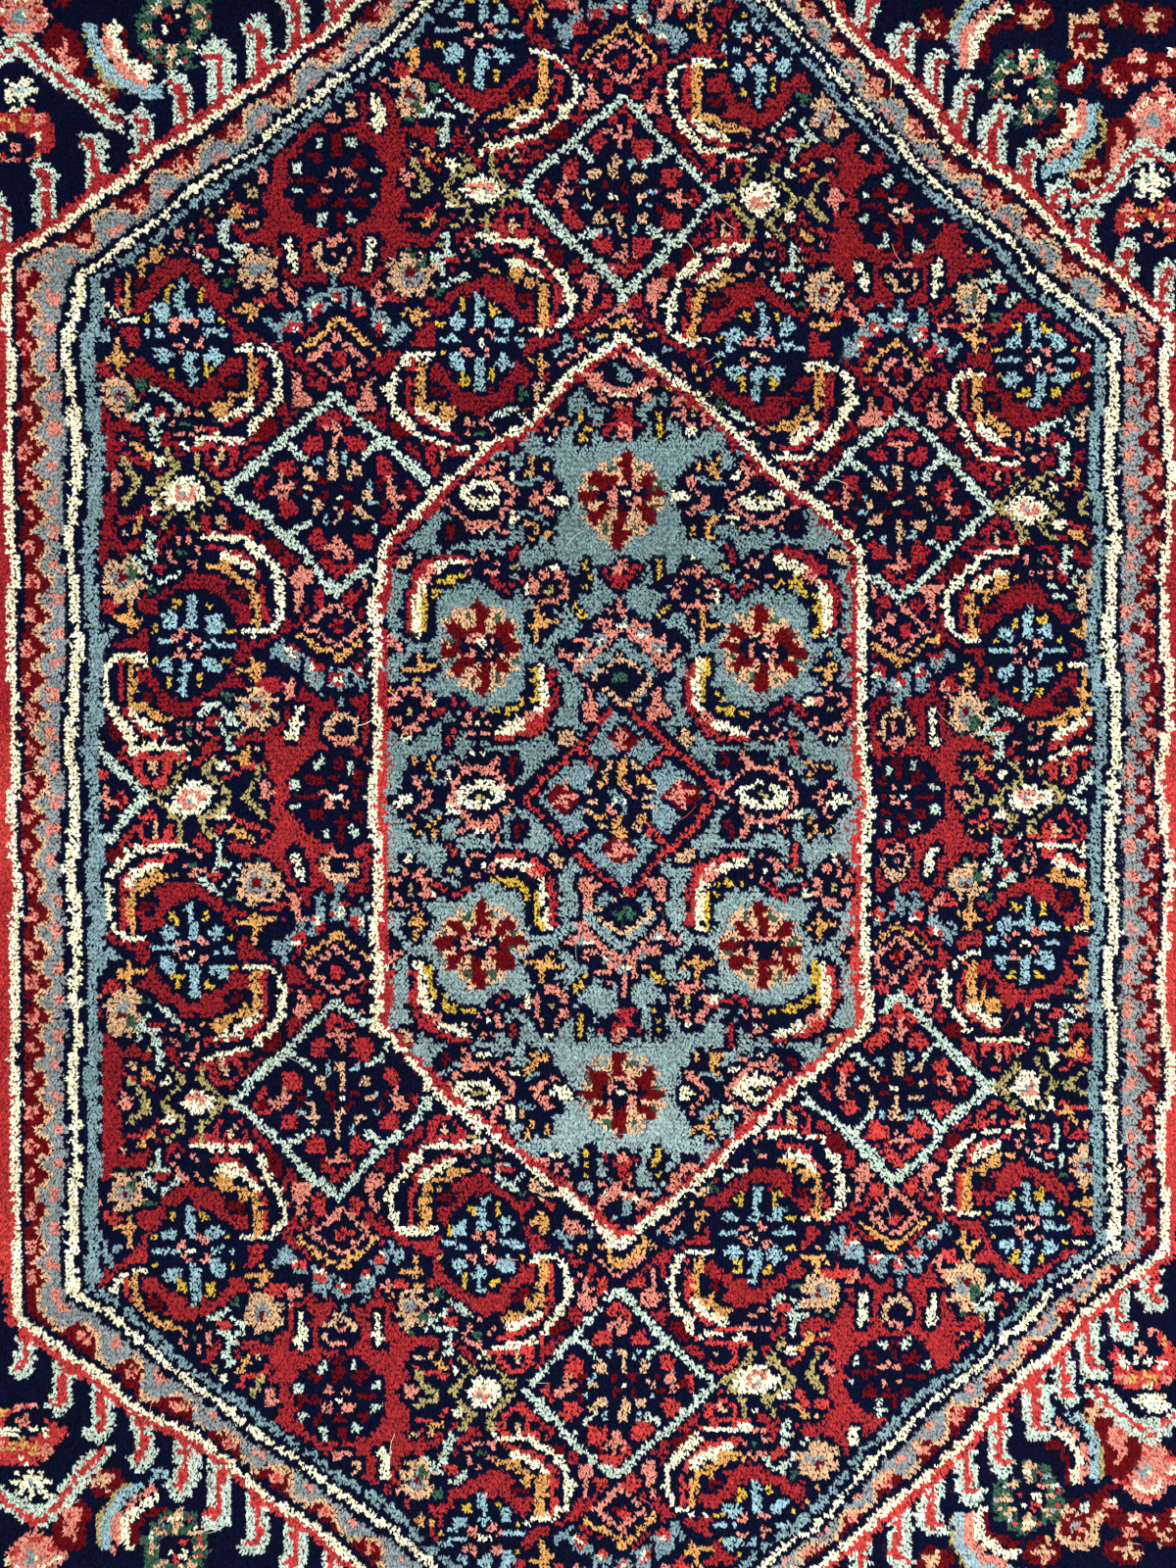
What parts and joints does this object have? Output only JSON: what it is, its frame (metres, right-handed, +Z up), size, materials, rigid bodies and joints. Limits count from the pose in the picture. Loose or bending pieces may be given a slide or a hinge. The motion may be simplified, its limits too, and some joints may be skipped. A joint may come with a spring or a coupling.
{
  "type": "persian rug cut length",
  "caption": "Flat rectangular length of hand-knotted wool pile rug with a hexagonal medallion, lattice field and guard stripes, cut plainly on all sides.",
  "frame": {"origin": "middle of the flat underside, on the floor", "axes": "+Z up through the pile, +Y along the warps towards the top of the pattern, +X across the rows of knots"},
  "size_m": [0.615, 0.81, 0.011],
  "materials": {
    "wool_pile": "matt cut wool pile with a soft sheen, knotted in about fifteen colours"
  },
  "bodies": {
    "root": {"rug": "wool_pile"}
  },
  "joints": []
}
